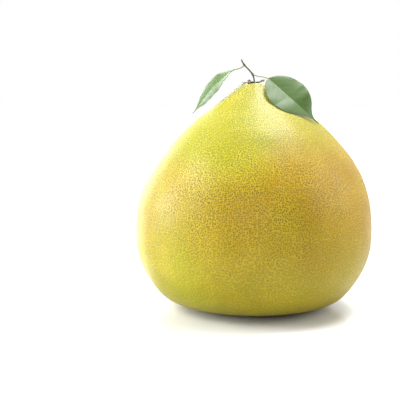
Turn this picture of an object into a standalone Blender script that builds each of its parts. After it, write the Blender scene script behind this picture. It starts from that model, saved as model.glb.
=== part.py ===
"""A whole pear-shaped pomelo with its calyx, a cut twig and two leaves, resting on its underside.

Metres, +Z up. The origin is the centre of the flat spot that the fruit rests on.
"""

import math

import bpy
import numpy as np
from mathutils import Vector

# Driving dimensions
FRUIT_WIDTH = 0.170
FRUIT_HEIGHT = 0.1605
GAP = 0.0003  # clearance between pieces that touch

# Outline of the fruit from the dimple at the top of the neck to the edge of its flat foot:
# (radius / half width, height / fruit height).
FRUIT_OUTLINE = [
    (0.000, 0.993),
    (0.062, 1.000),
    (0.129, 0.985),
    (0.329, 0.907),
    (0.618, 0.782),
    (0.865, 0.617),
    (0.982, 0.438),
    (0.976, 0.237),
    (0.794, 0.068),
    (0.547, 0.016),
    (0.259, 0.000),
]
FRUIT_RING_STEPS = 5  # rings between two outline points
FRUIT_SEGMENTS = 56

CALYX_DISC_RADIUS = 0.0042
CALYX_THICKNESS = 0.0008
CALYX_FIRST_LOBE = math.radians(36)
# Five lobes, counted round from the back right: how far each reaches past the disc, and how far
# its tip curls up off the neck. The last one has withered to a stub.
CALYX_LOBE_REACHES = [0.0042, 0.0038, 0.0048, 0.0038, 0.0016]
CALYX_TIP_LIFTS = [0.0016, 0.0012, 0.0010, 0.0003, 0.0001]

STEM_RADIUS = 0.00060
STEM_NODE_SWELLING = 0.45  # shares of the radius that the nodes and the base stand out by
STEM_BASE_SWELLING = 0.20
STEM_LOWER_NODE = Vector((-0.0013, -0.0008, 0.1665))
STEM_UPPER_NODE = Vector((-0.0074, -0.0012, 0.1735))
STEM_CUT_END = Vector((-0.0093, -0.0013, 0.1771))

PETIOLE_RADIUS = 0.00042
PETIOLE_BASE_SWELLING = 0.35
PETIOLE_TIP_SWELLING = 0.25

TUBE_BEVEL_RESOLUTION = 2

LEAF_THICKNESS = 0.0005
# Half width of a blade / its greatest half width, against the share of its length:
# a rounded base, widest before the middle, and a narrow drip tip.
LEAF_OUTLINE = [
    (0.00, 0.03),
    (0.05, 0.40),
    (0.14, 0.72),
    (0.28, 0.96),
    (0.42, 1.00),
    (0.56, 0.90),
    (0.70, 0.66),
    (0.81, 0.34),
    (0.90, 0.12),
    (1.00, 0.03),
]
LEAF_ROWS = 30
LEAF_COLUMNS = 5  # faces across one half of a blade


def smooth_through(points, steps):
    """Catmull-Rom curve through the points, with steps samples between two of them."""
    points = [np.array(point, float) for point in points]
    padded = [2 * points[0] - points[1], *points, 2 * points[-1] - points[-2]]
    samples = []
    for before, start, end, after in zip(padded, padded[1:], padded[2:], padded[3:]):
        for t in np.arange(steps) / steps:
            samples.append(
                0.5
                * (
                    2 * start
                    + (end - before) * t
                    + (2 * before - 5 * start + 4 * end - after) * t**2
                    + (3 * start - before - 3 * end + after) * t**3
                )
            )
    samples.append(points[-1])
    return np.array(samples)


def fruit_profile():
    """(radius, height) pairs from the apex down to the foot's edge, level at both ends."""
    scale = np.array([FRUIT_WIDTH / 2, FRUIT_HEIGHT])
    outline = [np.array(point) * scale for point in FRUIT_OUTLINE]
    mirrored_at_apex = outline[1] * (-1, 1)
    level_past_foot = np.array([2 * outline[-1][0] - outline[-2][0], outline[-1][1]])
    curve = smooth_through([mirrored_at_apex, *outline, level_past_foot], FRUIT_RING_STEPS)
    return curve[FRUIT_RING_STEPS:-FRUIT_RING_STEPS]


def neck_height(radius):
    """Height of the fruit's surface at this distance from its axis, near the top."""
    profile = fruit_profile()
    widest = int(np.argmax(profile[:, 0]))
    return float(np.interp(radius, profile[: widest + 1, 0], profile[: widest + 1, 1]))


def material(name, colour, roughness):
    made = bpy.data.materials.new(name)
    made.use_nodes = True
    shader = made.node_tree.nodes["Principled BSDF"]
    shader.inputs["Base Color"].default_value = (*colour, 1)
    shader.inputs["Roughness"].default_value = roughness
    shader.inputs["Metallic"].default_value = 0
    return made


def object_from(name, data, finish):
    made = bpy.data.objects.new(name, data)
    bpy.context.scene.collection.objects.link(made)
    data.materials.append(finish)
    return made


def mesh_from(name, corners, faces, finish):
    mesh = bpy.data.meshes.new(name)
    mesh.from_pydata([tuple(corner) for corner in corners], [], faces)
    mesh.shade_smooth()
    return object_from(name, mesh, finish)


def make_fruit():
    """The turned body: the outline and the flat foot, swept once round the axis."""
    profile = [(radius, 0, height) for radius, height in fruit_profile()]
    profile.append((0, 0, 0))
    mesh = bpy.data.meshes.new("fruit")
    mesh.from_pydata(profile, [(i, i + 1) for i in range(len(profile) - 1)], [])
    fruit = object_from("fruit", mesh, material("rind", (0.72, 0.66, 0.12), 0.45))
    screw = fruit.modifiers.new("turn", "SCREW")
    screw.axis = "Z"
    screw.steps = FRUIT_SEGMENTS
    screw.render_steps = FRUIT_SEGMENTS
    screw.use_merge_vertices = True
    screw.merge_threshold = 0.00001
    screw.use_smooth_shade = True
    return fruit


def make_calyx():
    """A thin lobed star that follows the neck, one gap above it."""
    rings = 6
    around = 60
    lobes = len(CALYX_LOBE_REACHES)
    corners = [(0, 0, neck_height(0) + GAP)]
    for ring in range(1, rings + 1):
        share = ring / rings
        for step in range(around):
            angle = 2 * math.pi * step / around
            turn = (angle - CALYX_FIRST_LOBE) * lobes / (2 * math.pi)
            lobe = round(turn) % lobes
            reach = CALYX_LOBE_REACHES[lobe]
            tongue = math.cos(math.pi * (turn - round(turn))) ** 1.6
            radius = share * (CALYX_DISC_RADIUS + reach * tongue)
            past_disc = max(0, radius - CALYX_DISC_RADIUS) / reach
            lift = CALYX_TIP_LIFTS[lobe] * past_disc**1.5
            corners.append(
                (
                    radius * math.cos(angle),
                    radius * math.sin(angle),
                    neck_height(radius) + GAP + lift,
                )
            )
    faces = [(0, 1 + step, 1 + (step + 1) % around) for step in range(around)]
    for ring in range(rings - 1):
        inner = 1 + ring * around
        outer = inner + around
        for step in range(around):
            after = (step + 1) % around
            faces.append((inner + step, outer + step, outer + after, inner + after))
    calyx = mesh_from("calyx", corners, faces, material("dry calyx", (0.30, 0.22, 0.10), 0.8))
    wall = calyx.modifiers.new("thickness", "SOLIDIFY")
    wall.thickness = CALYX_THICKNESS
    wall.offset = 1
    return calyx


def tapered_tube(name, path, radii, finish):
    """A round tube through the path, with its own radius at each point and closed ends."""
    curve = bpy.data.curves.new(name, "CURVE")
    curve.dimensions = "3D"
    curve.bevel_depth = 1
    curve.bevel_resolution = TUBE_BEVEL_RESOLUTION
    curve.use_fill_caps = True
    spline = curve.splines.new("POLY")
    spline.points.add(len(path) - 1)
    for point, place, radius in zip(spline.points, path, radii):
        point.co = (*place, 1)
        point.radius = radius
    return object_from(name, curve, finish)


def make_stem():
    """The twig, a little thicker where it stands in the calyx and at its two nodes."""
    calyx_top = neck_height(0) + GAP + CALYX_THICKNESS
    base = Vector((0.0003, -0.0005, calyx_top + GAP + STEM_RADIUS / 3))
    knots = [base, STEM_LOWER_NODE, STEM_UPPER_NODE, STEM_CUT_END]
    steps = 8
    path = smooth_through(knots, steps)
    radii = []
    for index in range(len(path)):
        knots_along = index / steps
        to_node = min(abs(knots_along - 1), abs(knots_along - 2))
        at_node = STEM_NODE_SWELLING * math.exp(-((6 * to_node) ** 2))
        at_base = STEM_BASE_SWELLING * math.exp(-5 * knots_along)
        radii.append(STEM_RADIUS * (1 + at_node + at_base))
    return tapered_tube("stem", path, radii, material("twig bark", (0.12, 0.13, 0.06), 0.7))


def make_petiole(name, knots):
    """A leaf stalk, thickest where it leaves the twig and where the blade is jointed to it."""
    path = smooth_through(knots, 6)
    share = np.linspace(0, 1, len(path))
    at_base = PETIOLE_BASE_SWELLING * np.exp(-8 * share)
    at_tip = PETIOLE_TIP_SWELLING * np.exp(-8 * (1 - share))
    radii = PETIOLE_RADIUS * (1 + at_base + at_tip)
    return tapered_tube(name, path, radii, material("leaf stalk", (0.35, 0.42, 0.18), 0.5))


def even_stations(knots, count):
    """Points at equal distances along the smooth curve through the knots."""
    curve = smooth_through(knots, 40)
    lengths = np.linalg.norm(np.diff(curve, axis=0), axis=1)
    walked = np.concatenate([[0], np.cumsum(lengths)])
    wanted = np.linspace(0, walked[-1], count)
    return np.stack([np.interp(wanted, walked, curve[:, axis]) for axis in range(3)], axis=1)


def blade_sheet(midrib, upward, half_width, folds, droops):
    """Corners and faces of a folded blade: rows across it, from its base to its tip.

    upward holds the directions that the upper side faces at the base, middle and tip. folds are the
    angles by which the right and left halves rise from flat, and droops the share of the half width
    by which each edge bends back down.
    """
    rows = LEAF_ROWS + 1
    spine = even_stations(midrib, rows)
    tangents = np.gradient(spine, axis=0)
    tangents /= np.linalg.norm(tangents, axis=1)[:, None]
    shares = np.linspace(0, 1, rows)
    outline = smooth_through(LEAF_OUTLINE, 20)
    widths = half_width * np.interp(shares, outline[:, 0], outline[:, 1])
    facing = np.array(upward, float)
    normals = np.stack(
        [np.interp(shares, np.linspace(0, 1, len(facing)), facing[:, axis]) for axis in range(3)],
        axis=1,
    )
    corners = []
    for place, along, normal, width in zip(spine, tangents, normals, widths):
        normal = normal - along * normal.dot(along)
        normal /= np.linalg.norm(normal)
        side = np.cross(along, normal)
        for column in range(-LEAF_COLUMNS, LEAF_COLUMNS + 1):
            half = 0 if column > 0 else 1
            across = column / LEAF_COLUMNS
            out = abs(across)
            rise = math.sin(folds[half]) * out - droops[half] * out**2
            corners.append(
                place + width * (math.cos(folds[half]) * across * side + rise * normal)
            )
    row = 2 * LEAF_COLUMNS + 1
    faces = []
    for index in range(rows - 1):
        for column in range(row - 1):
            first = index * row + column
            faces.append((first, first + 1, first + row + 1, first + row))
    return corners, faces


def make_leaf(name, midrib, upward, half_width, folds, droops):
    corners, faces = blade_sheet(midrib, upward, half_width, folds, droops)
    leaf = mesh_from(name, corners, faces, material("leaf green", (0.13, 0.30, 0.09), 0.4))
    wall = leaf.modifiers.new("thickness", "SOLIDIFY")
    wall.thickness = LEAF_THICKNESS
    wall.offset = 0
    return leaf


def millimetres(*places):
    return [Vector(place) / 1000 for place in places]


def clear_scene():
    for obj in list(bpy.data.objects):
        bpy.data.objects.remove(obj)


clear_scene()
make_fruit()
make_calyx()
make_stem()
make_petiole(
    "petiole_right",
    millimetres(
        (0.1, -1.7, 165.9),
        (2.8, -3.8, 165.2),
        (5.6, -6.0, 164.9),
        (8.3, -7.5, 164.3),
    ),
)
make_leaf(
    "leaf_right",
    millimetres(
        (9.3, -8.0, 164.0),
        (16.6, -12.2, 157.6),
        (23.2, -16.4, 151.5),
        (29.4, -19.6, 146.2),
        (37.0, -20.0, 138.9),
        (44.6, -17.0, 132.5),
    ),
    upward=[(0.11, -0.62, 0.78), (0.56, -0.79, 0.25), (0.20, -0.28, 0.94)],
    half_width=0.0149,
    folds=(math.radians(7), math.radians(13)),
    droops=(0.08, 0.07),
)
make_petiole(
    "petiole_left",
    millimetres(
        (-8.0, -1.4, 172.1),
        (-9.7, -1.8, 171.1),
        (-12.4, -2.8, 170.3),
        (-15.0, -3.8, 169.6),
    ),
)
make_leaf(
    "leaf_left",
    millimetres(
        (-15.8, -4.0, 169.3),
        (-21.9, -1.6, 163.4),
        (-28.0, 0.4, 158.1),
        (-33.7, 1.3, 151.1),
        (-39.0, 1.7, 144.4),
        (-44.3, 1.2, 138.0),
    ),
    upward=[(-0.42, -0.25, 0.87), (-0.88, -0.31, 0.35), (-0.84, -0.26, 0.47)],
    half_width=0.0121,
    folds=(math.radians(10), math.radians(12)),
    droops=(0.09, 0.09),
)
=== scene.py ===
# %% [markdown]
# # A pomelo with its twig and two leaves
#
# The pomelo is the largest citrus fruit. This one is pear-shaped: a wide, flattened foot, full
# cheeks, and a neck that rises to a dry calyx and a thin twig. The packed solids give the true
# sizes and places. This script grows the finished surfaces over them, one natural piece at a time.

# %% Load the frame
import math

import bpy
import numpy as np
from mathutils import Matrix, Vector


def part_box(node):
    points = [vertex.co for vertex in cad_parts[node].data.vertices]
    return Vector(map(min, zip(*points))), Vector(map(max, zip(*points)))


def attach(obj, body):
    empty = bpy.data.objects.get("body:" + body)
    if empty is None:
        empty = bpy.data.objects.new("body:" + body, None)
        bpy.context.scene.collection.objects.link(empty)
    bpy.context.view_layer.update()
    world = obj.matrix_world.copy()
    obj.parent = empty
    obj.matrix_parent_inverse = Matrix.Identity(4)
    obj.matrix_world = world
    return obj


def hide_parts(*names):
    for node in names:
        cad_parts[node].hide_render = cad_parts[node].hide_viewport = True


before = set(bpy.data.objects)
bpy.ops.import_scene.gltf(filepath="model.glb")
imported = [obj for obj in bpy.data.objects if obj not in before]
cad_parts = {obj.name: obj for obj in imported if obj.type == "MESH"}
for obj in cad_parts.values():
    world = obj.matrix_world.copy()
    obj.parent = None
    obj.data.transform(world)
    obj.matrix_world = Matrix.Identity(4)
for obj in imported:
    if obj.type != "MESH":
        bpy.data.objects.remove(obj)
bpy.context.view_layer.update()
MM = 0.001
fruit_low, fruit_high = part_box("fruit")
fruit_size = fruit_high - fruit_low
fruit_centre = (fruit_low + fruit_high) / 2
print("fruit, mm:", [round(side / MM, 1) for side in fruit_size])

# %% [markdown]
# ## Camera
#
# The fruit is seen from the front and a little above. A short lens would make the near cheeks
# bulge, so a long one is used from farther off, and the outline is almost a true side view. The
# fruit stands to the right of the middle of the view.

# %% Camera
CAMERA_DISTANCE = 0.80
CAMERA_PITCH = math.radians(8)
LENS_MM = 100
SENSOR_MM = 36
AIM_LEFT = 0.227  # of the fruit's width, from its middle
AIM_DOWN = 0.023  # of the fruit's height, from its middle

aim = fruit_centre - Vector((AIM_LEFT * fruit_size.x, 0, AIM_DOWN * fruit_size.z))
backwards = Vector((0, -math.cos(CAMERA_PITCH), math.sin(CAMERA_PITCH)))
lens = bpy.data.cameras.new("camera")
lens.lens = LENS_MM
lens.sensor_width = SENSOR_MM
camera = bpy.data.objects.new("camera", lens)
bpy.context.scene.collection.objects.link(camera)
camera.location = aim + backwards * CAMERA_DISTANCE
camera.rotation_euler = (-backwards).to_track_quat("-Z", "Y").to_euler()
bpy.context.scene.camera = camera
bpy.context.scene.view_settings.view_transform = "Standard"
print("camera at", [round(value, 3) for value in camera.location])

# %% [markdown]
# ## Writing node trees as calls
#
# Finishes and grown shapes are both node trees. They could be built node by node and link by link,
# which takes many lines that say little. This small class lets a tree be written as nested calls:
# each call adds a node and gives back its output, and any value may be such an output.


# %% Node tree helper
class Graph:
    """A node tree written as calls, where any value may be a number or another node's output."""

    def __init__(self, tree):
        self.tree = tree

    def add(self, kind, values=None, out=0, **settings):
        node = self.tree.nodes.new(kind)
        for name, value in settings.items():
            setattr(node, name, value)
        for key, value in (values or {}).items():
            links = value if isinstance(value, list) else [value]
            if not isinstance(links[0], bpy.types.NodeSocket):
                node.inputs[key].default_value = value
                continue
            for source in links:
                self.tree.links.new(source, node.inputs[key])
        return node.outputs[out]

    def math(self, operation, *values):
        return self.add("ShaderNodeMath", dict(enumerate(values)), operation=operation)

    def times(self, first, second):
        return self.math("MULTIPLY", first, second)

    def total(self, first, *others):
        for other in others:
            first = self.math("ADD", first, other)
        return first

    def vector(self, operation, *values, out="Vector"):
        return self.add("ShaderNodeVectorMath", dict(enumerate(values)), out, operation=operation)

    def scaled(self, vector, factor):
        return self.add("ShaderNodeVectorMath", {0: vector, 3: factor}, operation="SCALE")

    def parts(self, vector):
        return self.add("ShaderNodeSeparateXYZ", {0: vector}).node.outputs

    def joined(self, x, y, z):
        return self.add("ShaderNodeCombineXYZ", {0: x, 1: y, 2: z})

    def noise(self, vector, scale, detail=2.0, roughness=0.5):
        values = {"Vector": vector, "Scale": scale, "Detail": detail, "Roughness": roughness}
        return self.add("ShaderNodeTexNoise", values)

    def ramp(self, value, low, high, start=0.0, end=1.0):
        """start below low, end above high, and an S-shaped rise between them."""
        values = {"Value": value, "From Min": low, "From Max": high, "To Min": start, "To Max": end}
        return self.add("ShaderNodeMapRange", values, interpolation_type="SMOOTHSTEP")

    def blend(self, share, first, second, blend_type="MIX"):
        """The first colour where share is 0, the second where it is 1."""
        values = {0: share, 6: first, 7: second}
        settings = {"data_type": "RGBA", "blend_type": blend_type, "clamp_factor": True}
        return self.add("ShaderNodeMix", values, 2, **settings)


def rgb(red, green, blue):
    return (red, green, blue, 1.0)


print("a graph can add:", [name for name in vars(Graph) if not name.startswith("_")])

# %% [markdown]
# ## Table
#
# A pale table runs past the edge of the view. One white plane would do, but it throws so much
# light up under the cheeks that the foot of the fruit turns pale. So the table is white to the
# camera and greyer to the light that bounces off it, and a slight gloss carries a faint mirror
# image of the foot.

# %% Table
TABLE_HALF = 2.6
TABLE_WHITES = (rgb(0.90, 0.90, 0.90), rgb(0.88, 0.88, 0.88))
TABLE_BOUNCE = rgb(0.62, 0.62, 0.62)

table_finish = bpy.data.materials.new("pale_table")
table_finish.use_nodes = True
table = Graph(table_finish.node_tree)
table_shader = table_finish.node_tree.nodes["Principled BSDF"]
table_places = table.add("ShaderNodeTexCoord", out="Object")
table_white = table.blend(table.noise(table_places, 4), *TABLE_WHITES)
seen = table.add("ShaderNodeLightPath", out="Is Camera Ray")
table_colour = table.blend(seen, TABLE_BOUNCE, table_white)
table.tree.links.new(table_colour, table_shader.inputs["Base Color"])
table_shader.inputs["Roughness"].default_value = 0.12
table_shader.inputs["Specular IOR Level"].default_value = 0.5

table_mesh = bpy.data.meshes.new("floor")
around = ((-1, -1), (1, -1), (1, 1), (-1, 1))
table_corners = [(x * TABLE_HALF, y * TABLE_HALF, 0) for x, y in around]
table_mesh.from_pydata(table_corners, [], [(0, 1, 2, 3)])
table_mesh.materials.append(table_finish)
floor = bpy.data.objects.new("floor", table_mesh)
bpy.context.scene.collection.objects.link(floor)
print("table:", 2 * TABLE_HALF, "m square")

# %% [markdown]
# ## Light
#
# The light is a white studio's. Two boxes on the left, one high and one low, and a strong one
# overhead shape the fruit. Two behind it draw the bright rims, and weak ones at the right and in
# front keep the shaded side open. An even white sky would be simpler, but it lights every side
# alike and flattens the pear shape. So the walls are bright behind and dark on the camera's side.

# %% Soft boxes
LAMP_DISTANCE = 2.6
# Azimuth and elevation in degrees, width and height in metres, and brightness.
SOFT_BOXES = {
    "box_overhead": (125, 72, 1.2, 1.2, 21.0),
    "box_left": (-84, 40, 1.5, 1.1, 10.6),
    "strip_left": (-93, 10, 1.5, 0.9, 14.3),
    "strip_behind_left": (-155, 10, 1.8, 0.9, 8.0),
    "box_behind": (175, 40, 1.5, 1.2, 7.4),
    "box_right": (86, 25, 2.2, 1.7, 3.5),
    "strip_front": (-6, 18, 1.6, 0.9, 3.6),
    "strip_front_left": (-58, 22, 0.6, 1.6, 6.0),
}


def away_from_fruit(azimuth, elevation):
    """Unit vector. Azimuth 0 is toward the camera and grows to the right."""
    turn, rise = math.radians(azimuth), math.radians(elevation)
    level = math.cos(rise)
    return Vector((math.sin(turn) * level, -math.cos(turn) * level, math.sin(rise)))


def soft_box(name, azimuth, elevation, width, height, brightness):
    """A flat rectangular lamp that faces the fruit, as bright as this for each unit of area."""
    light = bpy.data.lights.new(name, "AREA")
    light.shape = "RECTANGLE"
    light.size = width
    light.size_y = height
    light.energy = brightness * math.pi * width * height
    lamp = bpy.data.objects.new(name, light)
    bpy.context.scene.collection.objects.link(lamp)
    away = away_from_fruit(azimuth, elevation)
    lamp.location = fruit_centre + away * LAMP_DISTANCE
    lamp.rotation_euler = (-away).to_track_quat("-Z", "Y").to_euler()
    lamp.visible_camera = False
    return lamp


for box_name, box_values in SOFT_BOXES.items():
    lamp = soft_box(box_name, *box_values)
    print(box_name, round(lamp.data.energy, 1), "W")

# %% Walls
WALL_BRIGHTNESS = 0.90

world = bpy.data.worlds.new("studio")
world.use_nodes = True
bpy.context.scene.world = world
studio = Graph(world.node_tree)
studio_light = world.node_tree.nodes["Background"]
toward = studio.parts(studio.add("ShaderNodeTexCoord", out="Generated"))
# The brightness grows toward the back, and upward.
behind = studio.total(studio.times(toward[1], 0.8), studio.times(toward[2], 0.5))
walls = studio.ramp(behind, -0.10, 0.60, 0.0, WALL_BRIGHTNESS)
seen_directly = studio.add("ShaderNodeLightPath", out="Is Camera Ray")
brightness = studio.add("ShaderNodeMix", {0: seen_directly, 2: walls, 3: 1.0})
studio.tree.links.new(brightness, studio_light.inputs["Strength"])
studio_light.inputs["Color"].default_value = rgb(1.0, 1.0, 1.0)
print("walls behind the fruit:", WALL_BRIGHTNESS)

# %% [markdown]
# ## Tools for grown shapes
#
# Geometry Nodes make what follows a rule or repeats: the body of the fruit, tubes that taper along
# a path, the crumpled calyx, and the veins of a leaf. Modelling each by hand would fix its sizes
# for good, while a tree keeps them as named inputs. Each result is kept as a plain mesh.


# %% Trees that make shapes
def shape_graph(name, inputs):
    """A Geometry Nodes tree with named inputs, given as name: (socket type, value)."""
    tree = bpy.data.node_groups.new(name, "GeometryNodeTree")
    sockets = tree.interface
    sockets.new_socket("Geometry", in_out="INPUT", socket_type="NodeSocketGeometry")
    for label, (kind, value) in inputs.items():
        socket = sockets.new_socket(label, in_out="INPUT", socket_type="NodeSocket" + kind)
        if value is not None:
            socket.default_value = value
    sockets.new_socket("Geometry", in_out="OUTPUT", socket_type="NodeSocketGeometry")
    print("tree:", name, "with", ", ".join(inputs))
    return Graph(tree), tree.nodes.new("NodeGroupInput").outputs


def finish_shape(graph, geometry, finish):
    """Ends a tree: instances made real, smooth shading, the finish, and the way out."""
    geometry = graph.add("GeometryNodeRealizeInstances", {"Geometry": geometry})
    geometry = graph.add("GeometryNodeSetShadeSmooth", {"Geometry": geometry})
    geometry = graph.add("GeometryNodeSetMaterial", {"Geometry": geometry, "Material": finish})
    way_out = graph.tree.nodes.new("NodeGroupOutput")
    graph.tree.links.new(geometry, way_out.inputs[0])
    print(graph.tree.name, "is made by", len(graph.tree.nodes), "nodes")


print("helpers: shape_graph, finish_shape")


# %% Pieces grown by a tree
def place_object(name, mesh):
    made = bpy.data.objects.new(name, mesh)
    bpy.context.scene.collection.objects.link(made)
    return made


def grow(name, mesh, graph, values):
    """Runs a tree on a mesh with these inputs, and keeps the result as a plain mesh."""
    source = place_object(name + "_source", mesh)
    modifier = source.modifiers.new(graph.tree.name, "NODES")
    modifier.node_group = graph.tree
    for socket in graph.tree.interface.items_tree:
        if socket.in_out == "INPUT" and socket.name in values:
            modifier[socket.identifier] = values[socket.name]
    bpy.context.view_layer.update()
    evaluated = source.evaluated_get(bpy.context.evaluated_depsgraph_get())
    grown = bpy.data.meshes.new_from_object(evaluated)
    grown.name = name
    bpy.data.objects.remove(source)
    print(f"{name}: {len(grown.polygons)} faces")
    return place_object(name, grown)


def keep(piece, node):
    """The piece rides on the fruit's body and stands for the packed solid, which is hidden."""
    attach(piece, "root")
    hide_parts(node)
    print(piece.name, "stands for", node)


print("helpers: place_object, grow, keep")


# %% Finishes
def finish_graph(name):
    """A new material, its graph, its shader node and its Object coordinates."""
    made = bpy.data.materials.new(name)
    made.use_nodes = True
    graph = Graph(made.node_tree)
    shader = made.node_tree.nodes["Principled BSDF"]
    return made, graph, shader, graph.add("ShaderNodeTexCoord", out="Object")


def wear(graph, shader, colour, relief, strength, depth):
    """Links a colour and a relief, whose depth is in metres, to the shader."""
    graph.tree.links.new(colour, shader.inputs["Base Color"])
    bump = graph.add("ShaderNodeBump", {"Height": relief, "Strength": strength, "Distance": depth})
    graph.tree.links.new(bump, shader.inputs["Normal"])
    print("finish of", len(graph.tree.nodes), "nodes, relief", round(depth / MM, 2), "mm deep")


print("helpers: finish_graph, wear")


# %% [markdown]
# ## Rind
#
# A pomelo's rind is waxed, thick and full of oil glands. Each gland is a small sunken pore that is
# darker and greener than the yellow skin round it. The colour could be painted on an unwrapped
# skin, but then every seam would show, so it is worked out from each point's place. Slow noise
# moves it from yellow-green, which the neck and one cheek keep longest, to gold.

# %% Ground colour of the rind
GOLD = rgb(0.342, 0.205, 0.003)
YELLOW_GREEN = rgb(0.303, 0.288, 0.004)
NECK_OLIVE = rgb(0.22, 0.235, 0.020)
PALE_GOLD = rgb(0.54, 0.40, 0.025)
PATCH_FROM_CENTRE = (-0.10, -0.34, 0.23)  # shares of the fruit's size
PATCH_REACH = 0.24 * fruit_size.x

rind, graph, shader, places = finish_graph("rind")
across, _, height = graph.parts(places)
height = graph.math("DIVIDE", height, fruit_size.z)  # from here on a share of the fruit's height
neck_green = graph.ramp(height, 0.60, 0.90, 0.0, 0.95)
foot_green = graph.ramp(height, 0.45, 0.05, 0.0, 0.50)
cheek_green = graph.ramp(across, 0.22 * fruit_size.x, -0.30 * fruit_size.x, 0.0, 0.50)
patch_shift = [share * side for share, side in zip(PATCH_FROM_CENTRE, fruit_size)]
patch_centre = fruit_centre + Vector(patch_shift)
patch_distance = graph.vector("DISTANCE", places, tuple(patch_centre), out="Value")
patch_green = graph.ramp(patch_distance, 0.0, PATCH_REACH, 0.75, 0.0)
slow_green = graph.ramp(graph.noise(places, 14, detail=3.0), 0.35, 0.70, -0.15, 0.25)
greenness = graph.total(neck_green, cheek_green, patch_green, slow_green, foot_green)
ground = graph.blend(greenness, GOLD, YELLOW_GREEN)
ground = graph.blend(graph.ramp(height, 0.70, 0.97, 0.0, 0.35), ground, NECK_OLIVE)
pale_patches = graph.ramp(graph.noise(places, 38, detail=4.0), 0.35, 0.70, 0.0, 0.25)
ground = graph.blend(pale_patches, ground, PALE_GOLD)
print("green patch at, mm:", [round(value / MM) for value in patch_centre])

# %% [markdown]
# ### Pores
#
# Real pores keep an even distance but never stand in rows. Single dents would need millions of
# faces, and plain noise would be too wild. A cell pattern spaces them as the skin does. It is drawn
# on the skin's own flat map, because in space it would be cut at a slant near the neck and foot.
# The pores are strong round the belly and fade toward the neck and the foot.

# %% Pores
PORE_SPACING = 1.5 * MM
GRID_FACE = 135 * MM  # how far one face of the wrapped grid reaches along the skin
FACES_ON_MAP = 4  # faces of the grid side by side on its map
GOLD_PORE = rgb(0.100, 0.070, 0.001)
GREEN_PORE = rgb(0.062, 0.085, 0.001)
# Gain of the ridges between the pores: a painted highlight on the pore rims, whiter than the skin.
RIDGE_HIGHLIGHT_GAIN = rgb(1.35, 1.30, 2.0)

skin_map = graph.add("ShaderNodeUVMap", uv_map="skin_map")
cells_on_map = FACES_ON_MAP * GRID_FACE / PORE_SPACING
cell_values = {"Vector": skin_map, "Scale": cells_on_map, "Randomness": 0.85}
cell_settings = {"voronoi_dimensions": "2D"}
from_pore = graph.add("ShaderNodeTexVoronoi", cell_values, "Distance", **cell_settings)
pore_depth = graph.ramp(graph.noise(places, 90), 0.25, 0.75, 0.6, 1.0)
pores = graph.times(graph.ramp(from_pore, 0.17, 0.34, 1.0, 0.0), pore_depth)
neck_fade = graph.ramp(height, 0.60, 0.95, 1.0, 0.55)
foot_fade = graph.ramp(height, 0.05, 0.65, 0.40, 1.25)
pores = graph.times(pores, graph.times(neck_fade, foot_fade))
# Painted highlight: the ridges between the pores are lightened and whitened as if they caught the
# light.
ridge_highlight = graph.ramp(from_pore, 0.40, 0.70, 0.0, 0.6)
skin = graph.blend(ridge_highlight, ground, graph.blend(1.0, ground, RIDGE_HIGHLIGHT_GAIN, "MULTIPLY"))
pore_colour = graph.blend(greenness, GOLD_PORE, GREEN_PORE)
skin = graph.blend(graph.times(pores, 0.95), skin, pore_colour)
print("pores", round(PORE_SPACING / MM, 1), "mm apart,", round(cells_on_map), "across the map")

# %% Rind finish
grain = graph.times(graph.noise(places, 900), 0.25)
wear(graph, shader, skin, graph.math("SUBTRACT", grain, pores), 0.6, 0.25 * MM)
polish = graph.ramp(graph.noise(places, 25), 0.3, 0.7, 0.36, 0.46)
graph.tree.links.new(polish, shader.inputs["Roughness"])
shader.inputs["Specular IOR Level"].default_value = 0.28
shader.inputs["Subsurface Weight"].default_value = 0.10
shader.inputs["Subsurface Radius"].default_value = (1.0, 0.55, 0.12)
shader.inputs["Subsurface Scale"].default_value = 3 * MM
shader.inputs["Coat Weight"].default_value = 0.06
shader.inputs["Coat Roughness"].default_value = 0.28

# %% [markdown]
# ## Fruit body
#
# The body follows a rule: one outline swept round an axis. A screw or a globe would do that, but
# both pinch at the poles, where the pores would crowd. So Geometry Nodes wrap a cube's even grid
# round the outline, which is read off the packed solid, and the skin can't drift from it. The tree
# then raises the slow swellings that keep a grown thing from looking turned: broad cheeks, soft
# lumps, and small furrows.


# %% Outline of the fruit
def outline_of(node):
    """(radius, height) of a turned solid's rings, from its apex down to the middle of its foot."""
    corners = np.array([tuple(vertex.co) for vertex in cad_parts[node].data.vertices])
    front = (corners[:, 0] >= 0) & (np.abs(corners[:, 1]) < 0.01 * MM)
    rings = {(round(float(x), 6), round(float(z), 6)) for x, _, z in corners[front]}
    widest_height = max(rings)[1]
    above = sorted(ring for ring in rings if ring[1] >= widest_height)
    below = sorted((ring for ring in rings if ring[1] < widest_height), reverse=True)
    return above + below + [(0.0, float(corners[:, 2].min()))]


outline = outline_of("fruit")
outline_mesh = bpy.data.meshes.new("fruit_outline")
outline_mesh.from_pydata(
    [(radius, 0, height) for radius, height in outline],
    [(index, index + 1) for index in range(len(outline) - 1)],
    [],
)
print("outline:", len(outline), "rings, widest", round(max(outline)[0] / MM, 1), "mm")

# %% Grid wrapped round the outline
body, sizes = shape_graph(
    "fruit body",
    {
        "Grid": ("Int", 120),
        "Cheek height": ("Float", 1.2 * MM),
        "Lump height": ("Float", 1.6 * MM),
        "Ripple height": ("Float", 0.45 * MM),
        "Grain height": ("Float", 0.10 * MM),
        "Furrow depth": ("Float", 0.12 * MM),
        "Seed": ("Float", 3.0),
    },
)
grid = sizes["Grid"]
cube_values = {"Size": (2, 2, 2), "Vertices X": grid, "Vertices Y": grid, "Vertices Z": grid}
cube = body.add("GeometryNodeMeshCube", cube_values)
map_values = {"Geometry": cube, "Name": "skin_map", "Value": cube.node.outputs["UV Map"]}
map_settings = {"data_type": "FLOAT2", "domain": "CORNER"}
mapped = body.add("GeometryNodeStoreNamedAttribute", map_values, **map_settings)

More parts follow.
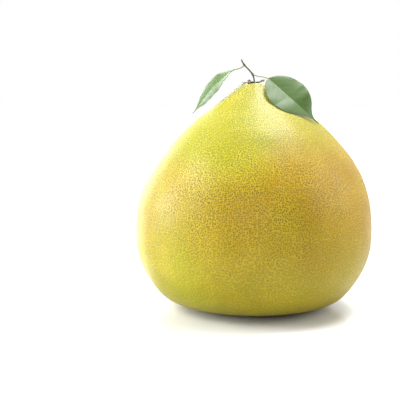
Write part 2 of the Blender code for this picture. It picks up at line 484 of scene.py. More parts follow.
# The tangent evens out the grid's spacing before the cube is blown up to a ball.
place = body.add("GeometryNodeInputPosition")
ball = body.vector("NORMALIZE", body.vector("TANGENT", body.scaled(place, math.pi / 4)))
ball_x, ball_y, ball_z = body.parts(ball)
polar_share = body.math("DIVIDE", body.math("ARCCOSINE", ball_z), math.pi)
outline_curve = body.add("GeometryNodeMeshToCurve", {"Mesh": sizes["Geometry"]})
ring_values = {"Curves": outline_curve, "Factor": polar_share}
ring = body.add("GeometryNodeSampleCurve", ring_values, 1, use_all_curves=True)
ring_radius, _, ring_height = body.parts(ring)
level = body.vector("NORMALIZE", body.joined(ball_x, ball_y, 0.0))
skin_place = body.vector("ADD", body.scaled(level, ring_radius), body.joined(0.0, 0.0, ring_height))
wrapped = body.add("GeometryNodeSetPosition", {"Geometry": mapped, "Position": skin_place})
print("grid wrapped round", round(outline[0][1] / MM, 1), "mm of height")

# %% [markdown]
# ### Cheeks, lumps and furrows
#
# A real pomelo isn't round. Broad cheeks swell out below the neck, soft lumps run over the belly,
# and small furrows gather round the calyx. They could be sculpted, but then each would be fixed for
# good. So each kind is a field of heights: waves round the axis for cheeks and furrows, noise for
# the lumps. They fade out at the calyx and at the foot, which have to meet the twig and the table.

# %% Cheeks
# Cheeks that swell out below the neck: (azimuth in degrees, share of the full height).
CHEEKS = [(-42, 1.0), (30, 1.0), (88, 0.8), (150, 1.0), (-112, 0.9)]
CHEEK_SHARPNESS = 9.0

# From here on the same place field gives the wrapped skin, not the cube.
skin_x, skin_y, skin_z = body.parts(place)
height_share = body.math("DIVIDE", skin_z, fruit_size.z)
azimuth = body.math("ARCTAN2", skin_x, body.times(skin_y, -1))
cheek = 0.0
for degrees, share in CHEEKS:
    nearness = body.math("COSINE", body.math("SUBTRACT", azimuth, math.radians(degrees)))
    fall = body.math("MULTIPLY_ADD", nearness, CHEEK_SHARPNESS, -CHEEK_SHARPNESS)
    cheek = body.math("MULTIPLY_ADD", body.math("EXPONENT", fall), share, cheek)
shoulder = body.times(body.ramp(height_share, 0.30, 0.68), body.ramp(height_share, 0.96, 0.74))
cheek = body.times(body.times(cheek, shoulder), sizes["Cheek height"])
print(len(CHEEKS), "cheeks")

# %% Lumps and furrows
FURROWS = 13
LUMP_SPACING = 75 * MM
RIPPLE_SPACING = 17 * MM
GRAIN_SPACING = 4 * MM


def lumps_on_skin(spacing, height):
    """Noise centred on zero, with lumps this far apart."""
    moved = body.vector("ADD", place, body.joined(sizes["Seed"], 0.0, 0.0))
    return body.times(body.math("SUBTRACT", body.noise(moved, 1 / spacing, 1.0), 0.5), height)


lumps = lumps_on_skin(LUMP_SPACING, sizes["Lump height"])
ripples = lumps_on_skin(RIPPLE_SPACING, sizes["Ripple height"])
grains = lumps_on_skin(GRAIN_SPACING, sizes["Grain height"])
rise = body.total(body.total(cheek, lumps), body.total(ripples, grains))
from_axis = body.vector("LENGTH", body.joined(skin_x, skin_y, 0.0), out="Value")
furrow_reach = body.times(body.ramp(from_axis, 3 * MM, 9 * MM), body.ramp(from_axis, 26 * MM, 9 * MM))
furrows = body.times(body.math("COSINE", body.times(azimuth, FURROWS)), furrow_reach)
furrows = body.times(furrows, body.ramp(height_share, 0.6, 0.8))
furrows = body.times(furrows, sizes["Furrow depth"])
below_neck = body.ramp(height_share, 0.8, 0.6)
clear_of_calyx = body.math("MAXIMUM", body.ramp(from_axis, 6 * MM, 22 * MM), below_neck)
clear_of_foot = body.ramp(height_share, 0.0, 0.10)
rise = body.times(body.total(body.times(rise, clear_of_calyx), furrows), clear_of_foot)
print(FURROWS, "furrows round the calyx")

# %% Grown fruit
outward = body.scaled(body.add("GeometryNodeInputNormal"), rise)
swollen = body.add("GeometryNodeSetPosition", {"Geometry": wrapped, "Offset": outward})
finish_shape(body, swollen, rind)
fruit = grow("pomelo_fruit", outline_mesh, body, {"Seed": 3.0})
keep(fruit, "fruit")
lowest = min(vertex.co.z for vertex in fruit.data.vertices)
print("lowest point, mm:", round(lowest / MM, 3))

# %% [markdown]
# ## Smooth paths
#
# The twig, the stalks and the middle line of each leaf are curves through a few chosen places, in
# millimetres. A Bezier curve would need two handles at each place. Catmull-Rom needs none, and it
# passes through the places themselves, as a bent twig passes its own nodes.


# %% Smooth curve and the neck's height
def smooth_through(points, steps):
    """Catmull-Rom curve through the points, with steps samples between two of them."""
    points = [np.array(point, float) for point in points]
    padded = [2 * points[0] - points[1], *points, 2 * points[-1] - points[-2]]
    samples = []
    for before, start, end, after in zip(padded, padded[1:], padded[2:], padded[3:]):
        for t in np.arange(steps) / steps:
            straight = 2 * start + (end - before) * t
            bend = (2 * before - 5 * start + 4 * end - after) * t**2
            turn = (3 * start - before - 3 * end + after) * t**3
            samples.append(0.5 * (straight + bend + turn))
    samples.append(points[-1])
    return np.array(samples)


def neck_height(radius):
    """Height of the fruit's skin at this distance from its axis, near the top."""
    upper = outline[: outline.index(max(outline)) + 1]
    return float(np.interp(radius, [ring[0] for ring in upper], [ring[1] for ring in upper]))


print("neck height at the calyx, mm:", round(neck_height(4 * MM) / MM, 2))


# %% Lines, sheets and their attributes
def path_mesh(name, path, radii):
    """A line of edges along the path, whose points carry the tube's radius there."""
    mesh = bpy.data.meshes.new(name)
    links = [(index, index + 1) for index in range(len(path) - 1)]
    mesh.from_pydata([tuple(place) for place in path], links, [])
    mesh.attributes.new("radius", "FLOAT", "POINT").data.foreach_set("value", list(radii))
    return mesh


def sheet_mesh(name, corners, faces, **attributes):
    """An open sheet whose corners carry one number of each named attribute."""
    mesh = bpy.data.meshes.new(name)
    mesh.from_pydata([tuple(corner) for corner in corners], [], faces)
    for label, numbers in attributes.items():
        mesh.attributes.new(label, "FLOAT", "POINT").data.foreach_set("value", list(numbers))
    print(f"{name}: {len(corners)} corners")
    return mesh


def read(graph, name, kind="FLOAT"):
    return graph.add("GeometryNodeInputNamedAttribute", {"Name": name}, data_type=kind)


def store(graph, geometry, name, value):
    values = {"Geometry": geometry, "Name": name, "Value": value}
    return graph.add("GeometryNodeStoreNamedAttribute", values, data_type="FLOAT", domain="POINT")


print("helpers: path_mesh, sheet_mesh, read, store")

# %% [markdown]
# ## Calyx
#
# The calyx is what is left of the flower: a small leathery star of five sepals under the twig. It
# dries while the fruit ripens, so no two sepals are alike. One is long, pale and nearly flat, three
# are shorter and brown, and one at the back is still green and curls up. Five copies of one sepal
# would look too even. So the star is one sheet of rings made in plain code, where each sepal has its
# own direction, reach, lift and fold, and a tree then crumples the sheet and gives it a wall.

# %% Calyx sheet
CALYX_DISC = 3.4 * MM
CALYX_SEAT = 0.22 * MM  # from the skin to the calyx's underside
# Each sepal's direction in degrees, its reach past the disc, the lift of its tip and the depth of
# its fold in millimetres, then how dry it is, from 0, green, to 1, papery. A value a little past
# either end keeps the mottle out of that sepal.
SEPALS = [
    (42, 6.4, 3.6, 1.5, -0.1),
    (122, 3.8, 2.0, 1.1, 0.60),
    (178, 5.6, 1.0, 1.1, 1.1),
    (236, 4.6, 0.4, 1.1, 0.45),
    (306, 1.2, 0.0, 1.1, 0.35),
]
SEPAL_SPREAD = 72  # degrees across the foot of one sepal
SEPAL_POINTEDNESS = 1.3
CALYX_RINGS = 16
CALYX_AROUND = 200
BUTTON_HEIGHT = 0.7 * MM
BUTTON_RADIUS = 1.5 * MM


def calyx_sheet():
    """Corners, faces, and each corner's dryness and share of the way to the rim."""
    corners = [(0, 0, neck_height(0) + BUTTON_HEIGHT)]
    dryness = [0.3]
    rim = [0.0]
    for ring in range(1, CALYX_RINGS + 1):
        share = ring / CALYX_RINGS
        for step in range(CALYX_AROUND):
            angle = 2 * math.pi * step / CALYX_AROUND
            turns = [(math.degrees(angle) - sepal[0] + 180) % 360 - 180 for sepal in SEPALS]
            off_degrees, nearest = min((abs(turn), index) for index, turn in enumerate(turns))
            _, reach, lift, fold, dry = SEPALS[nearest]
            off_middle = min(0.5, off_degrees / SEPAL_SPREAD)
            tongue = math.cos(math.pi * off_middle) ** SEPAL_POINTEDNESS
            ragged = 1 + 0.04 * math.sin(23 * angle) + 0.03 * math.sin(41 * angle + 1)
            radius = share * (CALYX_DISC + reach * MM * tongue * ragged)
            past_disc = max(0, radius - CALYX_DISC) / (reach * MM)
            curl = lift * MM * past_disc**4
            crease = fold * MM * past_disc * 2 * off_middle
            button = BUTTON_HEIGHT * math.exp(-((radius / BUTTON_RADIUS) ** 2))
            height = neck_height(radius) + CALYX_SEAT + curl + crease + button
            corners.append((radius * math.cos(angle), radius * math.sin(angle), height))
            dryness.append(0.3 + (dry - 0.3) * min(1, max(0, radius / CALYX_DISC - 0.5)))
            rim.append(share)
    faces = [(0, 1 + step, 1 + (step + 1) % CALYX_AROUND) for step in range(CALYX_AROUND)]
    for ring in range(CALYX_RINGS - 1):
        inner = 1 + ring * CALYX_AROUND
        for step in range(CALYX_AROUND):
            after = (step + 1) % CALYX_AROUND
            outer = inner + CALYX_AROUND
            faces.append((inner + step, outer + step, outer + after, inner + after))
    return corners, faces, dryness, rim


corners, faces, dryness, rim = calyx_sheet()
calyx_mesh = sheet_mesh("calyx_sheet", corners, faces, dryness=dryness, rim=rim)

# %% [markdown]
# ### Calyx finish
#
# A drying sepal goes from leaf green through brown to a papery cream. Five materials could show
# that, but on a real calyx one tone runs into the next. So one finish reads how dry each corner of
# the sheet is. A fine mottle roughens it, and the rim is the darkest, as a dried edge is.

# %% Calyx finish
SEPAL_GREEN = rgb(0.034, 0.060, 0.004)
SEPAL_BROWN = rgb(0.050, 0.028, 0.006)
SEPAL_CREAM = rgb(0.42, 0.27, 0.19)
SEPAL_RIM = rgb(0.045, 0.025, 0.010)

sepal, graph, shader, places = finish_graph("sepal")
dry = graph.add("ShaderNodeAttribute", out="Fac", attribute_name="dryness")
rim_share = graph.add("ShaderNodeAttribute", out="Fac", attribute_name="rim")
mottle = graph.noise(places, 700, detail=4.0, roughness=0.65)
dry = graph.total(dry, graph.ramp(mottle, 0.25, 0.75, -0.18, 0.18))
colour = graph.blend(graph.ramp(dry, 0.15, 0.5), SEPAL_GREEN, SEPAL_BROWN)
colour = graph.blend(graph.ramp(dry, 0.72, 1.0), colour, SEPAL_CREAM)
colour = graph.blend(graph.ramp(rim_share, 0.86, 0.98, 0.0, 0.55), colour, SEPAL_RIM)
fibres = graph.noise(places, 2500, detail=2.0)
wear(graph, shader, colour, graph.total(mottle, fibres), 0.5, 0.15 * MM)
shader.inputs["Roughness"].default_value = 0.72
shader.inputs["Specular IOR Level"].default_value = 0.35

# %% Calyx tree
MERGE_DISTANCE = 0.002 * MM


def moved_out(graph, sheet, distance):
    """The sheet with each corner moved this far along its own normal."""
    offset = graph.scaled(graph.add("GeometryNodeInputNormal"), distance)
    return graph.add("GeometryNodeSetPosition", {"Geometry": sheet, "Offset": offset})


def two_sided(graph, sheet, upper_shift, lower_shift):
    """Closes a sheet into a thin solid: one layer moved up, one down, merged where both are zero."""
    upper = moved_out(graph, sheet, upper_shift)
    lower = moved_out(graph, sheet, lower_shift)
    lower = store(graph, graph.add("GeometryNodeFlipFaces", {"Mesh": lower}), "under", 1.0)
    both = graph.add("GeometryNodeJoinGeometry", {0: [upper, lower]})
    return graph.add("GeometryNodeMergeByDistance", {"Geometry": both, "Distance": MERGE_DISTANCE})


crumple, sizes = shape_graph(
    "calyx",
    {
        "Wall": ("Float", 0.45 * MM),
        "Crumple height": ("Float", 0.9 * MM),
        "Crumple spacing": ("Float", 2.2 * MM),
        "Finish": ("Material", None),
    },
)
rim_share = read(crumple, "rim")
creases_per_metre = crumple.math("DIVIDE", 1.0, sizes["Crumple spacing"])
rumple = crumple.noise(crumple.add("GeometryNodeInputPosition"), creases_per_metre)
rumple = crumple.times(crumple.math("SUBTRACT", rumple, 0.45), sizes["Crumple height"])
rumple = crumple.times(rumple, crumple.ramp(rim_share, 0.25, 0.9))
crumple_values = {"Geometry": sizes["Geometry"], "Offset": crumple.joined(0.0, 0.0, rumple)}
crumpled = crumple.add("GeometryNodeSetPosition", crumple_values)
wall = crumple.times(crumple.ramp(rim_share, 1.0, 0.8), sizes["Wall"])
finish_shape(crumple, two_sided(crumple, crumpled, wall, 0.0), sizes["Finish"])
calyx = grow("dry_calyx", calyx_mesh, crumple, {"Finish": sepal})
keep(calyx, "calyx")

# %% [markdown]
# ## Twig
#
# The fruit is picked with a short green twig that stands in the calyx, bends at two nodes and ends
# in a clean cut. At each node a leaf stalk leaves, with a small bud in the angle above it. A bevelled
# curve could be the twig, but its bark would be smooth and its spots would need placing by hand. The
# tree below sweeps a circle along a path whose points carry their own radius, roughens the bark, and
# scatters lenticels, the pale breathing spots of young bark. The buds and leaf stalks use it too.

# %% Tapered tube tree
BARK_GRAIN = 0.8 * MM

tube_tree, sizes = shape_graph(
    "tapered tube",
    {
        "Sides": ("Int", 20),
        "Roughness height": ("Float", 0.08 * MM),
        "Lenticel size": ("Float", 0.08 * MM),
        "Lenticel density": ("Float", 0.0),
        "Seed": ("Int", 4),
        "Finish": ("Material", None),
    },
)
line = tube_tree.add("GeometryNodeMeshToCurve", {"Mesh": sizes["Geometry"]})
line = store(tube_tree, line, "along", tube_tree.add("GeometryNodeSplineParameter"))
circle_values = {"Resolution": sizes["Sides"], "Radius": 1.0}
circle = tube_tree.add("GeometryNodeCurvePrimitiveCircle", circle_values)
radius = read(tube_tree, "radius")
sweep_values = {"Curve": line, "Profile Curve": circle, "Scale": radius, "Fill Caps": True}
tube = tube_tree.add("GeometryNodeCurveToMesh", sweep_values)
rough = tube_tree.noise(tube_tree.add("GeometryNodeInputPosition"), 1 / BARK_GRAIN)
rough = tube_tree.times(tube_tree.math("SUBTRACT", rough, 0.5), sizes["Roughness height"])
tube = moved_out(tube_tree, tube, rough)
spot_values = {"Mesh": tube, "Density": sizes["Lenticel density"], "Seed": sizes["Seed"]}
spots = tube_tree.add("GeometryNodeDistributePointsOnFaces", spot_values)
spots = store(tube_tree, spots, "spot", 1.0)
ball_values = {"Radius": sizes["Lenticel size"], "Subdivisions": 2}
spot_shape = tube_tree.add("GeometryNodeMeshIcoSphere", ball_values)
lenticels = tube_tree.add("GeometryNodeInstanceOnPoints", {"Points": spots, "Instance": spot_shape})
tube_and_spots = tube_tree.add("GeometryNodeJoinGeometry", {0: [tube, lenticels]})
finish_shape(tube_tree, tube_and_spots, sizes["Finish"])

# %% [markdown]
# ### Bark
#
# Young bark is green and turns browner toward the foot of the twig. The tree has stored how far
# along each point lies and which points are lenticels, so one finish can follow them. The last
# hundredth of the twig is the pale cut wood. The stalks wear the same bark in a lighter green.

# %% Bark and stalk finishes
LENTICEL = rgb(0.30, 0.27, 0.15)
CUT_WOOD = rgb(0.36, 0.36, 0.20)


def stem_finish(name, young, old, base_length):
    """Bark that is oldest at its foot and young from this share of its length on."""
    made, graph, shader, places = finish_graph(name)
    along = graph.add("ShaderNodeAttribute", out="Fac", attribute_name="along")
    spot = graph.add("ShaderNodeAttribute", out="Fac", attribute_name="spot")
    mottle = graph.noise(places, 1400, detail=4.0)
    uneven = graph.ramp(mottle, 0.3, 0.7, -0.2, 0.4)
    age = graph.total(graph.ramp(along, 0.0, base_length, 0.8, 0.0), uneven)
    colour = graph.blend(age, young, old)
    colour = graph.blend(spot, colour, LENTICEL)
    colour = graph.blend(graph.ramp(along, 0.990, 1.0), colour, CUT_WOOD)
    wear(graph, shader, colour, mottle, 0.5, 0.08 * MM)
    shader.inputs["Roughness"].default_value = 0.6
    return made


twig_bark = stem_finish("twig_bark", rgb(0.085, 0.095, 0.040), rgb(0.12, 0.11, 0.04), 0.35)
stalk_skin = stem_finish("leaf_stalk", rgb(0.25, 0.29, 0.13), rgb(0.11, 0.15, 0.03), 0.20)

# %% [markdown]
# ### Twig and buds
#
# The twig is thicker at its foot and at its two nodes, where the leaves grew. A knob could be
# modelled and joined on, but its seam would show. So the swellings are added to the radius along
# the path. A bud is a short, pointed spindle of the same tube, ringed by its scales.

# %% Twig
STEM_RADIUS = 0.53 * MM
LOWER_NODE = np.array([-1.3, -0.8, 166.5])
UPPER_NODE = np.array([-7.4, -1.2, 173.5])
CUT_END = np.array([-9.3, -1.3, 177.1])
STEM_STEPS = 16

stem_base = np.array([0.3, -0.5, neck_height(0) / MM + 0.5])
stem_path = smooth_through([stem_base, LOWER_NODE, UPPER_NODE, CUT_END], STEM_STEPS) * MM
knots_along = np.arange(len(stem_path)) / STEM_STEPS
to_node = np.minimum(np.abs(knots_along - 1), np.abs(knots_along - 2))
node_swelling = 0.45 * np.exp(-((6 * to_node) ** 2))
base_swelling = 0.5 * np.exp(-9 * knots_along)
stem_radii = STEM_RADIUS * (1 + node_swelling + base_swelling)
stem_values = {"Lenticel density": 1.2e6, "Finish": twig_bark}
twig = grow("twig", path_mesh("twig_path", stem_path, stem_radii), tube_tree, stem_values)
keep(twig, "stem")

# %% Buds
BUD_LENGTH = 1.3 * MM
BUD_RADIUS = 0.45 * MM
BUD_TIP_RADIUS = 0.02 * MM
BUD_RINGS = 14
BUDS = [(LOWER_NODE, (0.5, -0.3, 0.8)), (UPPER_NODE, (-0.7, -0.2, 0.5))]


def bud_path(node_place, lean):
    """Path and radii of a pointed spindle that leans away from the twig, ringed by its scales."""
    share = np.linspace(0, 1, BUD_RINGS)
    axis = np.array(Vector(lean).normalized())
    path = [node_place + axis * BUD_LENGTH * part for part in share]
    spindle = np.sqrt(np.clip(np.sin(math.pi * (0.25 + 0.75 * share)), 0, 1))
    scales = 1 + 0.10 * np.sin(share * 18)
    return path, BUD_RADIUS * spindle * scales + BUD_TIP_RADIUS


for number, (node_place, lean) in enumerate(BUDS):
    path, radii = bud_path(node_place * MM, lean)
    bud_mesh = path_mesh("bud_path", path, radii)
    bud = grow(f"bud_{number}", bud_mesh, tube_tree, {"Finish": stalk_skin})
    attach(bud, "root")

# %% [markdown]
# ## Leaf stalks
#
# Each stalk leaves a node of the twig a little swollen, thins out, and is jointed to its blade. It
# could end at the joint, but then a gap would show from below. So the finished stalk starts inside
# the node and runs on under the foot of the blade as its middle rib.

# %% Leaf stalks
STALK_RADIUS = 0.37 * MM
STALKS = {
    "petiole_right": [
        LOWER_NODE,
        (0.1, -1.7, 165.9),
        (2.8, -3.8, 165.2),
        (5.6, -6.0, 164.9),
        (8.3, -7.5, 164.3),
        (10.6, -8.9, 162.6),
    ],
    "petiole_left": [
        UPPER_NODE,
        (-8.0, -1.4, 172.1),
        (-9.7, -1.8, 171.1),
        (-12.4, -2.8, 170.3),
        (-15.0, -3.8, 169.6),
        (-17.0, -3.4, 167.9),
    ],
}
for node, knots in STALKS.items():
    path = smooth_through(knots, 8) * MM
    share = np.linspace(0, 1, len(path))
    swelling_at_ends = 0.35 * np.exp(-8 * share) + 0.25 * np.exp(-(((share - 0.8) / 0.08) ** 2))
    taper_under_blade = np.clip((1.04 - share) / 0.2, 0.2, 1)
    radii = STALK_RADIUS * (1 + swelling_at_ends) * taper_under_blade
    stalk_mesh = path_mesh(node + "_path", path, radii)
    stalk = grow(node + "_stalk", stalk_mesh, tube_tree, {"Finish": stalk_skin})
    keep(stalk, node)

# %% [markdown]
# ## Leaf blades
#
# A citrus blade is a leathery sheet about half a millimetre thick, folded a little along its middle
# rib, with an edge that thins out and waves. A flat leaf could be cut out and bent by modifiers, but
# its fold, twist and outline are easier to set where they arise. So the blade's middle line, the way
# it faces, and its outline give a sheet of rows and columns, as fine as the veins need. Each corner
# also gets its place on a flat map of the leaf, along and across, which the veins and the finish
# follow.

# %% Outline of a blade
# Half width of a blade / its greatest half width, against the share of its length.
LEAF_OUTLINE = [
    (0.00, 0.03),
    (0.05, 0.40),
    (0.14, 0.72),
    (0.28, 0.96),
    (0.42, 1.00),
    (0.56, 0.90),
    (0.70, 0.66),
    (0.81, 0.34),
    (0.90, 0.12),
    (1.00, 0.03),
]
leaf_outline = smooth_through(LEAF_OUTLINE, 20)
widest = leaf_outline[leaf_outline[:, 1].argmax()]
print("a blade is widest at", round(float(widest[0]), 2), "of its length")

# %% Blade sheet
LEAF_ROWS = 150
LEAF_COLUMNS = 34  # faces across one half of a blade
EDGE_WAVE = 0.12 * MM
EDGE_WAVES = 4.5
TRIM_START = 0.52  # shares of the blade's length
TRIM_LENGTH = 0.26


def even_stations(knots, count):
    """Points at equal distances along the smooth curve through the knots."""
    curve = smooth_through(knots, 40)
    lengths = np.linalg.norm(np.diff(curve, axis=0), axis=1)
    walked = np.concatenate([[0], np.cumsum(lengths)])
    wanted = np.linspace(0, walked[-1], count)
    return np.stack([np.interp(wanted, walked, curve[:, axis]) for axis in range(3)], axis=1)


def blade_sheet(midrib, upward, half_width, folds, droops, trims):
    """Corners, faces and map places of a folded blade, in rows across it from base to tip.

    upward holds the directions that the upper side faces at the base, middle and tip. folds are the
    angles by which the right and left halves rise from flat, droops the share of the half width by
    which each edge bends back down, and trims how much narrower each half is near the tip.
    """
    rows = LEAF_ROWS + 1
    spine = even_stations(midrib, rows)
    tangents = np.gradient(spine, axis=0)
    tangents /= np.linalg.norm(tangents, axis=1)[:, None]
    shares = np.linspace(0, 1, rows)
    widths = half_width * np.interp(shares, leaf_outline[:, 0], leaf_outline[:, 1])
    turning = smooth_through(upward, rows)
    stops = np.linspace(0, 1, len(turning))
    facing = np.stack([np.interp(shares, stops, axis) for axis in turning.T], axis=1)
    corners, places = [], []
    for share, place, along, normal, width in zip(shares, spine, tangents, facing, widths):
        normal = normal - along * normal.dot(along)
        normal /= np.linalg.norm(normal)
        side = np.cross(along, normal)
        toward_tip = min(1, max(0, (share - TRIM_START) / TRIM_LENGTH))
        for column in range(-LEAF_COLUMNS, LEAF_COLUMNS + 1):
            half = 0 if column > 0 else 1
            half_here = width * (1 - trims[half] * math.sin(math.pi / 2 * toward_tip) ** 2)
            across = column / LEAF_COLUMNS
            out = abs(across)
            rise = math.sin(folds[half]) * out - droops[half] * out**2
            wave = math.sin(2 * math.pi * EDGE_WAVES * share + 2.1 * half) * out**4
            wave *= EDGE_WAVE * math.sin(math.pi * share)
            sideways = half_here * math.cos(folds[half]) * across
            corners.append(place + sideways * side + (half_here * rise + wave) * normal)
            places.append((share, 0.5 + 0.5 * across))
    row = 2 * LEAF_COLUMNS + 1
    faces = []
    for index in range(rows - 1):
        for column in range(row - 1):
            first = index * row + column
            faces.append((first, first + 1, first + row + 1, first + row))
    return corners, faces, places


def blade_mesh(name, corners, faces, places):
    """The sheet as a mesh with the flat map as its UV map."""
    mesh = sheet_mesh(name, corners, faces)
    leaf_map = mesh.uv_layers.new(name="leaf_map")
    map_values = [value for face in faces for corner in face for value in places[corner]]
    leaf_map.data.foreach_set("uv", map_values)
    return mesh


print("a blade's sheet has", LEAF_ROWS, "by", 2 * LEAF_COLUMNS, "faces")

# %% [markdown]
# ## Veins
#
# A thick middle rib runs to the tip, and eight pairs of side veins leave it at a slant and bend
# toward the tip before they reach the edge. Above, the rib lies in a shallow groove and the blade
# swells a little between the veins. Underneath they stand out. A relief in the finish alone would
# look flat from the side, where the rib is a real ridge. So the tree draws the veins as lines on the
# flat map, finds the matching lines on the blade, and moves each corner by how near it is to them.
# The same tree fits both leaves however they bend.

# %% Leaf tree and its rib line
leaf_tree, sizes = shape_graph(
    "leaf veins",
    {
        "Vein pairs": ("Int", 8),
        "Vein width": ("Float", 0.34 * MM),
        "Vein relief": ("Float", 0.008 * MM),
        "Rib width": ("Float", 0.62 * MM),
        "Rib relief": ("Float", 0.30 * MM),
        "Quilting": ("Float", 0.003 * MM),
        "Wall": ("Float", 0.38 * MM),
        "Finish": ("Material", None),
    },
)
sheet = sizes["Geometry"]
map_place = read(leaf_tree, "leaf_map", "FLOAT_VECTOR")
sheet_place = leaf_tree.add("GeometryNodeInputPosition")


def on_blade(place_on_map):
    """The place on the bent blade that belongs to a place on its flat map."""
    values = {"Mesh": sheet, "Value": sheet_place, "UV Map": map_place, "Sample UV": place_on_map}
    return leaf_tree.add("GeometryNodeSampleUVSurface", values, data_type="FLOAT_VECTOR")


def distance_to(lines):
    """How far each corner of the sheet is from the nearest of these lines."""
    wires = leaf_tree.add("GeometryNodeCurveToMesh", {"Curve": lines})
    values = {"Geometry": wires, "Sample Position": sheet_place}
    return leaf_tree.add("GeometryNodeProximity", values, "Distance", target_element="EDGES")


RIB_POINTS = 80
straight = leaf_tree.add("GeometryNodeCurvePrimitiveLine", {"Start": (0, 0, 0), "End": (1, 0, 0)})
rib_line = leaf_tree.add("GeometryNodeResampleCurve", {"Curve": straight, "Count": RIB_POINTS})
along = leaf_tree.add("GeometryNodeSplineParameter")
rib_share = leaf_tree.ramp(along, 0.0, 1.0, 0.002, 0.998)
rib_share.node.interpolation_type = "LINEAR"
rib_place = on_blade(leaf_tree.joined(rib_share, 0.5, 0.0))
rib_line = leaf_tree.add("GeometryNodeSetPosition", {"Geometry": rib_line, "Position": rib_place})
print("rib line of", RIB_POINTS, "points")

# %% Side vein lines
VEIN_POINTS = 18
LAST_VEIN = 0.84  # share of the blade's length by which every vein has left the rib
side_line = leaf_tree.add("GeometryNodeResampleCurve", {"Curve": straight, "Count": VEIN_POINTS})
vein_count = leaf_tree.times(sizes["Vein pairs"], 2)
vein_starts = leaf_tree.add("GeometryNodeMeshLine", {"Count": vein_count, "Offset": (0, 0, 0)})
vein_starts = store(leaf_tree, vein_starts, "number", leaf_tree.add("GeometryNodeInputIndex"))
line_values = {"Points": vein_starts, "Instance": side_line}
side_lines = leaf_tree.add("GeometryNodeInstanceOnPoints", line_values)
side_lines = leaf_tree.add("GeometryNodeRealizeInstances", {"Geometry": side_lines})
number = read(leaf_tree, "number")
side_of_rib = leaf_tree.math("MODULO", number, 2)
pair = leaf_tree.math("FLOOR", leaf_tree.times(number, 0.5))
start = leaf_tree.math("MULTIPLY_ADD", side_of_rib, 0.4, leaf_tree.total(pair, 0.3))
start = leaf_tree.times(leaf_tree.math("DIVIDE", start, sizes["Vein pairs"]), LAST_VEIN)
bend = leaf_tree.math("MULTIPLY_ADD", leaf_tree.math("POWER", along, 2), 0.09, start)
vein_along = leaf_tree.math("MINIMUM", leaf_tree.math("MULTIPLY_ADD", along, 0.10, bend), 0.99)
vein_across = leaf_tree.times(leaf_tree.math("SUBTRACT", side_of_rib, 0.5), along)
vein_across = leaf_tree.math("MULTIPLY_ADD", vein_across, 0.92, 0.5)
vein_place = on_blade(leaf_tree.joined(vein_along, vein_across, 0.0))
vein_values = {"Geometry": side_lines, "Position": vein_place}
side_lines = leaf_tree.add("GeometryNodeSetPosition", vein_values)
print("side vein lines of", VEIN_POINTS, "points")

# %% Relief of the veins
QUILT_WIDTH = 1.7 * MM  # how far from a vein the blade has swollen up
GROOVE_SHARE = 0.05  # depth of the grooves above, as a share of the ridges underneath


def near(distance, width):
    """1 on a line, falling to 0 a few widths away."""
    share = leaf_tree.math("DIVIDE", distance, width)
    return leaf_tree.math("EXPONENT", leaf_tree.times(leaf_tree.math("POWER", share, 2), -1))


leaf_share, leaf_side, _ = leaf_tree.parts(map_place)
out = leaf_tree.times(leaf_tree.math("ABSOLUTE", leaf_tree.math("SUBTRACT", leaf_side, 0.5)), 2)
side_distance = distance_to(side_lines)
side_vein = near(side_distance, sizes["Vein width"])
side_vein = leaf_tree.times(side_vein, leaf_tree.ramp(out, 0.95, 0.3))
rib_width = leaf_tree.times(sizes["Rib width"], leaf_tree.ramp(leaf_share, 0.0, 1.0, 1.0, 0.35))
rib = near(distance_to(rib_line), rib_width)
edge = leaf_tree.math("POWER", out, 6)
from_middle = leaf_tree.math("ABSOLUTE", leaf_tree.math("MULTIPLY_ADD", leaf_share, 2, -1))
ends = leaf_tree.math("POWER", from_middle, 40)
inside = leaf_tree.math("SUBTRACT", 1, leaf_tree.math("MAXIMUM", edge, ends))
inside = leaf_tree.math("MAXIMUM", inside, 0)
swell = leaf_tree.math("SUBTRACT", 1, near(side_distance, QUILT_WIDTH))
swell = leaf_tree.times(leaf_tree.times(swell, sizes["Quilting"]), inside)
relief = leaf_tree.times(side_vein, sizes["Vein relief"])
relief = leaf_tree.math("MAXIMUM", relief, leaf_tree.times(rib, sizes["Rib relief"]))
relief = leaf_tree.times(relief, inside)
half_wall = leaf_tree.times(leaf_tree.times(sizes["Wall"], 0.5), inside)
veined = store(leaf_tree, sheet, "side_vein", side_vein)
veined = store(leaf_tree, veined, "rib", rib)
upper = leaf_tree.math("MULTIPLY_ADD", relief, -GROOVE_SHARE, leaf_tree.total(half_wall, swell))
lower = leaf_tree.math("SUBTRACT", leaf_tree.math("SUBTRACT", swell, half_wall), relief)
finish_shape(leaf_tree, two_sided(leaf_tree, veined, upper, lower), sizes["Finish"])

# %% [markdown]
# ## Leaf finish
#
# Above, a citrus leaf is dark and waxed, with paler veins. Underneath it is lighter and duller. Two
# materials would leave a hard line round the edge, so one finish reads which side it is on. The
# smallest veins make a net that is too fine to model, and the finish draws it as a relief of cells.

# %% Leaf finish
NET_SPACING = 0.75 * MM
GREENS_ABOVE = (rgb(0.050, 0.103, 0.014), rgb(0.060, 0.120, 0.019))
GREENS_UNDER = (rgb(0.12, 0.18, 0.055), rgb(0.145, 0.205, 0.065))
VEIN_GREEN = rgb(0.11, 0.17, 0.05)

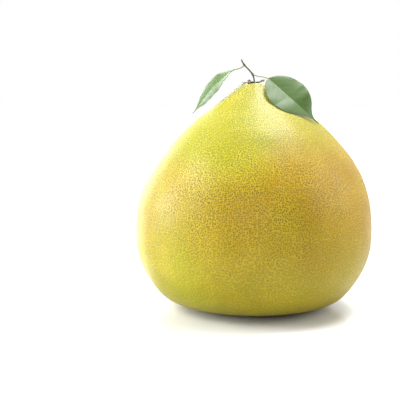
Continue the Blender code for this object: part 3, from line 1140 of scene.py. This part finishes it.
blade, graph, shader, places = finish_graph("leaf_blade")
under = graph.add("ShaderNodeAttribute", out="Fac", attribute_name="under")
side_vein = graph.add("ShaderNodeAttribute", out="Fac", attribute_name="side_vein")
rib = graph.add("ShaderNodeAttribute", out="Fac", attribute_name="rib")
mottle = graph.ramp(graph.noise(places, 160, detail=4.0), 0.3, 0.7)
above_green = graph.blend(mottle, *GREENS_ABOVE)
below_green = graph.blend(mottle, *GREENS_UNDER)
green = graph.blend(under, above_green, below_green)
veins = graph.math("MAXIMUM", graph.times(side_vein, 0.30), graph.times(rib, 0.30))
green = graph.blend(veins, green, VEIN_GREEN)
net_values = {"Vector": places, "Scale": 1 / NET_SPACING}
net = graph.add("ShaderNodeTexVoronoi", net_values, "Distance", feature="DISTANCE_TO_EDGE")
net = graph.ramp(net, 0.0, 0.14)
wear(graph, shader, green, net, 0.10, 0.05 * MM)
dullness = graph.blend(under, rgb(0.46, 0.46, 0.46), rgb(0.60, 0.60, 0.60))
graph.tree.links.new(dullness, shader.inputs["Roughness"])
shader.inputs["Specular IOR Level"].default_value = 0.38

# %% [markdown]
# ## The two leaves
#
# The right leaf lies over the shoulder of the fruit and turns its tip out along the skin. The left
# one hangs free. One leaf could be copied and turned into place, but two leaves of one twig never
# bend alike. So both are the same blade with a middle line, facing, width and fold of their own.

# %% The two leaves
LEAVES = {
    "leaf_right": {
        "midrib": [
            (9.3, -8.0, 164.0),
            (16.6, -12.2, 157.6),
            (23.2, -16.4, 151.5),
            (29.4, -19.6, 146.2),
            (37.0, -20.0, 138.9),
            (44.6, -17.0, 132.5),
        ],
        "upward": [(0.11, -0.62, 0.78), (0.56, -0.79, 0.25), (0.20, -0.28, 0.94)],
        "half_width": 14.9 * MM,
        "folds": (math.radians(7), math.radians(17)),
        "droops": (0.08, 0.07),
        "trims": (0.50, 0.0),
    },
    "leaf_left": {
        "midrib": [
            (-15.8, -4.0, 169.3),
            (-22.4, -1.6, 163.6),
            (-28.5, 0.4, 158.1),
            (-34.1, 1.3, 151.3),
            (-39.1, 1.7, 144.4),
            (-44.3, 1.2, 138.0),
        ],
        "upward": [(-0.31, -0.13, 0.94), (-0.95, -0.20, 0.26), (-0.82, -0.38, 0.43)],
        "half_width": 12.3 * MM,
        "folds": (math.radians(12), math.radians(3)),
        "droops": (0.09, 0.09),
        "trims": (0.12, 0.0),
    },
}
for node, shape in LEAVES.items():
    shape["midrib"] = np.array(shape["midrib"]) * MM
    corners, faces, map_places = blade_sheet(**shape)
    sheet_of_leaf = blade_mesh(node + "_sheet", corners, faces, map_places)
    leaf = grow(node + "_blade", sheet_of_leaf, leaf_tree, {"Finish": blade})
    keep(leaf, node)
